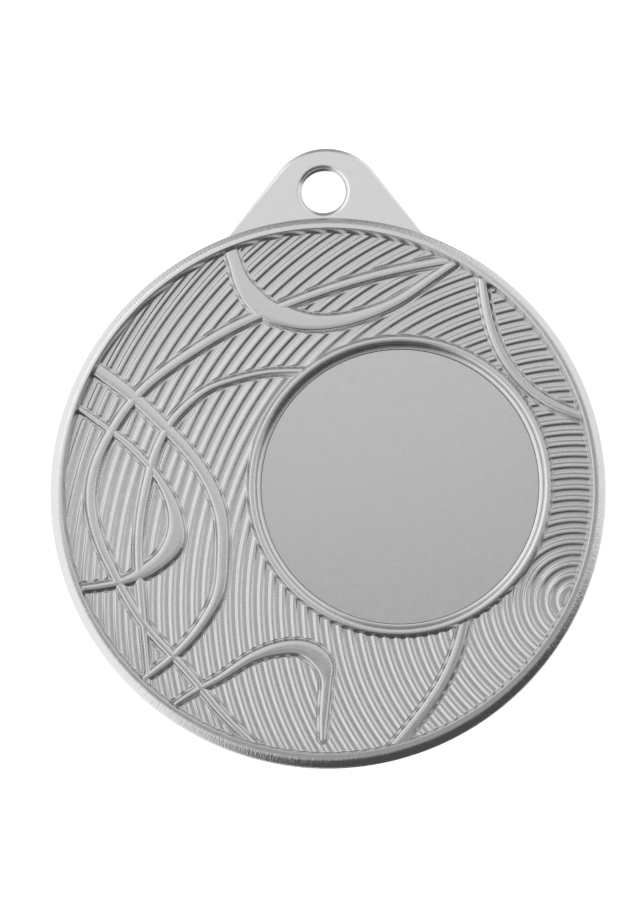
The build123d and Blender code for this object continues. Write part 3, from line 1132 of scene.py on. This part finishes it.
def panel(behind, level, bearing, full, none, top, bottom):
    """Radiance of the room with one soft panel hung in front of what is behind it.

    Angles are in degrees. The panel is full up to one angle from its bearing and gone beyond
    another. Its top and bottom are angles from the zenith: it fades in between them and is full
    from there down. The room becomes behind + share * (level - behind).
    """
    turn = math.radians(bearing)
    towards = vector_calc(room, "DOT_PRODUCT", compass, (math.cos(turn), math.sin(turn), 0.0))
    side_share = spread(room, towards, math.cos(math.radians(none)), math.cos(math.radians(full)))
    high = math.cos(math.radians(top))
    low = math.cos(math.radians(bottom))
    height_share = spread(room, parts.outputs["Z"], low, high, 1.0, 0.0)
    share = calc(room, "MULTIPLY", side_share, height_share)
    change = calc(room, "SUBTRACT", level, behind)
    return calc(room, "ADD", behind, calc(room, "MULTIPLY", share, change))


radiance = OVERHEAD
for hung in (RIGHT_PANEL, LEFT_PANEL, DARK_QUARTER):
    radiance = panel(radiance, **hung)
give(room, room.nodes["Background"].inputs["Strength"], radiance)
room.nodes["Background"].inputs["Color"].default_value = (1.0, 1.0, 1.0, 1.0)

# %% Soft light near the lug
LAMP_SIDE = 0.13
LAMP_WATTS = 0.024
LAMP_PLACE = (-0.03, 0.075, 0.12)

lamp_data = bpy.data.lights.new("soft light", "AREA")
lamp_data.shape = "SQUARE"
lamp_data.size = LAMP_SIDE
lamp_data.energy = LAMP_WATTS
lamp = bpy.data.objects.new("soft light", lamp_data)
lamp.location = LAMP_PLACE
lamp.visible_camera = False
bpy.context.scene.collection.objects.link(lamp)

# %% Floor
FLOOR_SIZE = 4.0
FLOOR_DROP = 0.02 * MM
FLOOR_WHITE = 0.8
FLOOR_ROUGHNESS = 0.9
FLOOR_GLOW = 0.8

half = FLOOR_SIZE / 2
floor_mesh = bpy.data.meshes.new("floor")
floor_corners = [(-half, -half), (half, -half), (half, half), (-half, half)]
floor_mesh.from_pydata([(x, y, -FLOOR_DROP) for x, y in floor_corners], [], [(0, 1, 2, 3)])
floor = bpy.data.objects.new("floor", floor_mesh)
bpy.context.scene.collection.objects.link(floor)
floor_paint = bpy.data.materials.new("floor paint")
floor_paint.use_nodes = True
floor_shader = floor_paint.node_tree.nodes["Principled BSDF"]
floor_shader.inputs["Base Color"].default_value = (FLOOR_WHITE, FLOOR_WHITE, FLOOR_WHITE, 1.0)
floor_shader.inputs["Roughness"].default_value = FLOOR_ROUGHNESS
floor_shader.inputs["Specular IOR Level"].default_value = 0.0
floor_shader.inputs["Emission Color"].default_value = (1.0, 1.0, 1.0, 1.0)
floor_shader.inputs["Emission Strength"].default_value = FLOOR_GLOW
floor_mesh.materials.append(floor_paint)
floor.visible_glossy = False
floor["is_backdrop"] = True

# %% [markdown]
# ## Camera
#
# The medal is seen from nearly straight above, tipped a little towards its lower edge and turned
# by under a degree. A long lens from far away keeps the circle a circle.

# %% Camera
CAMERA_DISTANCE = 1.5
SENSOR = 36.0
MM_ACROSS_LONG_SIDE = 81.75
TIP = math.radians(8.9)
LEAN = math.radians(2.0)
ROLL = math.radians(0.84)
AIM = (-0.81, 3.37, 2.0)
CLIP_END = 10.0

aim = Vector(AIM) * MM
backwards = Vector((math.sin(LEAN), -math.sin(TIP), math.cos(TIP))).normalized()
up = Vector((math.sin(ROLL), math.cos(ROLL), 0.0))
right = up.cross(backwards).normalized()
up = backwards.cross(right)

camera_data = bpy.data.cameras.new("camera")
camera_data.sensor_width = SENSOR
camera_data.lens = SENSOR * CAMERA_DISTANCE / (MM_ACROSS_LONG_SIDE * MM)
camera_data.clip_end = CLIP_END
camera = bpy.data.objects.new("camera", camera_data)
turned_camera = Matrix((right, up, backwards)).transposed().to_4x4()
camera.matrix_world = Matrix.Translation(aim + backwards * CAMERA_DISTANCE) @ turned_camera
bpy.context.scene.collection.objects.link(camera)
bpy.context.scene.camera = camera
bpy.context.scene.view_settings.view_transform = "Standard"
print(f"lens {camera_data.lens:.0f} mm")

# %% Measure and finish
visual_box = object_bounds()
boxes = {"cad": [list(corner) for corner in cad_box], "visual": [list(corner) for corner in visual_box]}
for label, corners in boxes.items():
    print(label, [[round(value / MM, 2) for value in corner] for corner in corners])
